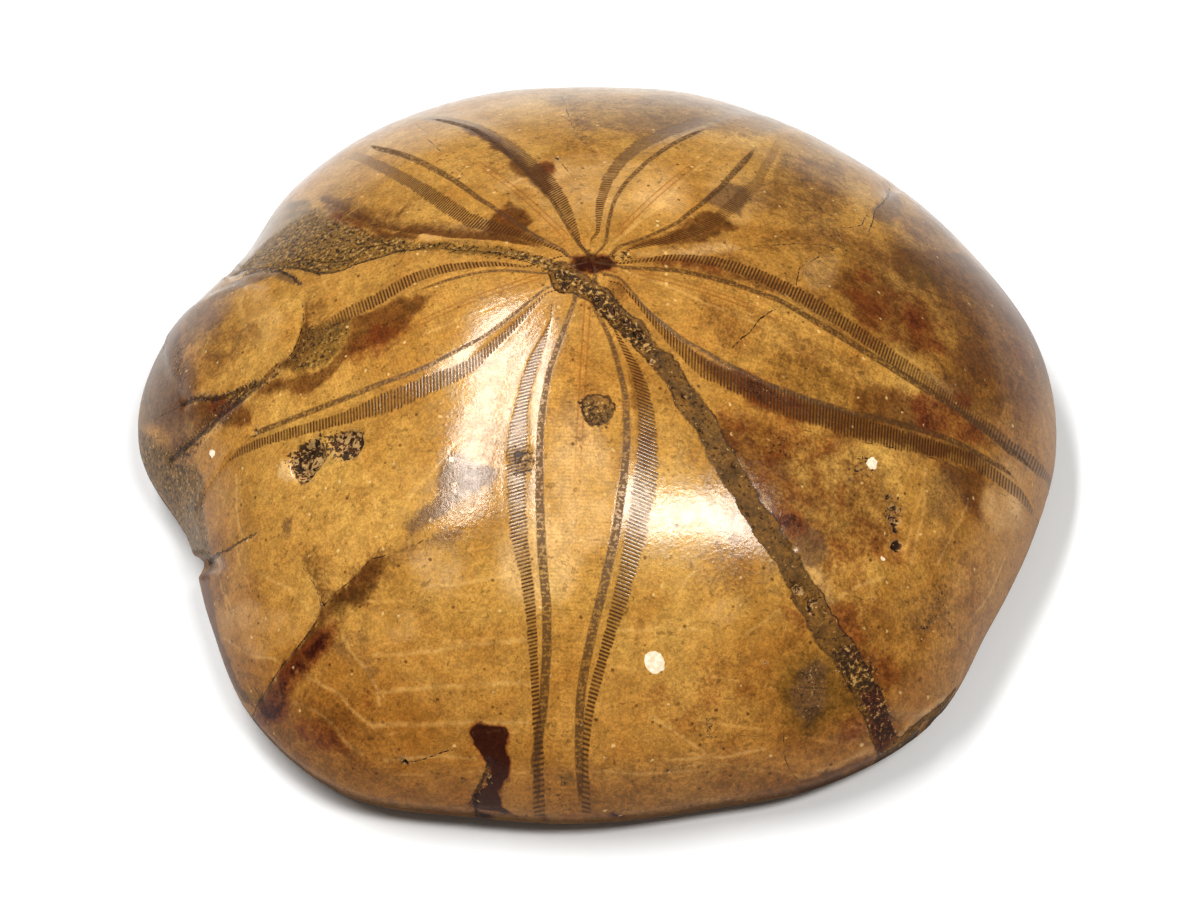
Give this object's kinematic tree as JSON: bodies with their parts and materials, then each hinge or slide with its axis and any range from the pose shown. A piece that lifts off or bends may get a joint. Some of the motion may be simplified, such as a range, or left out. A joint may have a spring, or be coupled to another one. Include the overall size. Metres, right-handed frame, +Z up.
{
  "type": "fossil sea urchin",
  "caption": "Polished fossil sea urchin: a domed amber stone with lance-shaped petals and filled cracks, lying on its flat side.",
  "frame": {"origin": "middle of the bounding box, on the surface the stone lies on", "axes": "+Z up through the dome; the front petal points along -Y and +X is to its right"},
  "size_m": [0.1056, 0.1036, 0.037],
  "materials": {
    "amber_stone": "polished stone"
  },
  "bodies": {
    "root": {"urchin_stone": "amber_stone"}
  },
  "joints": []
}
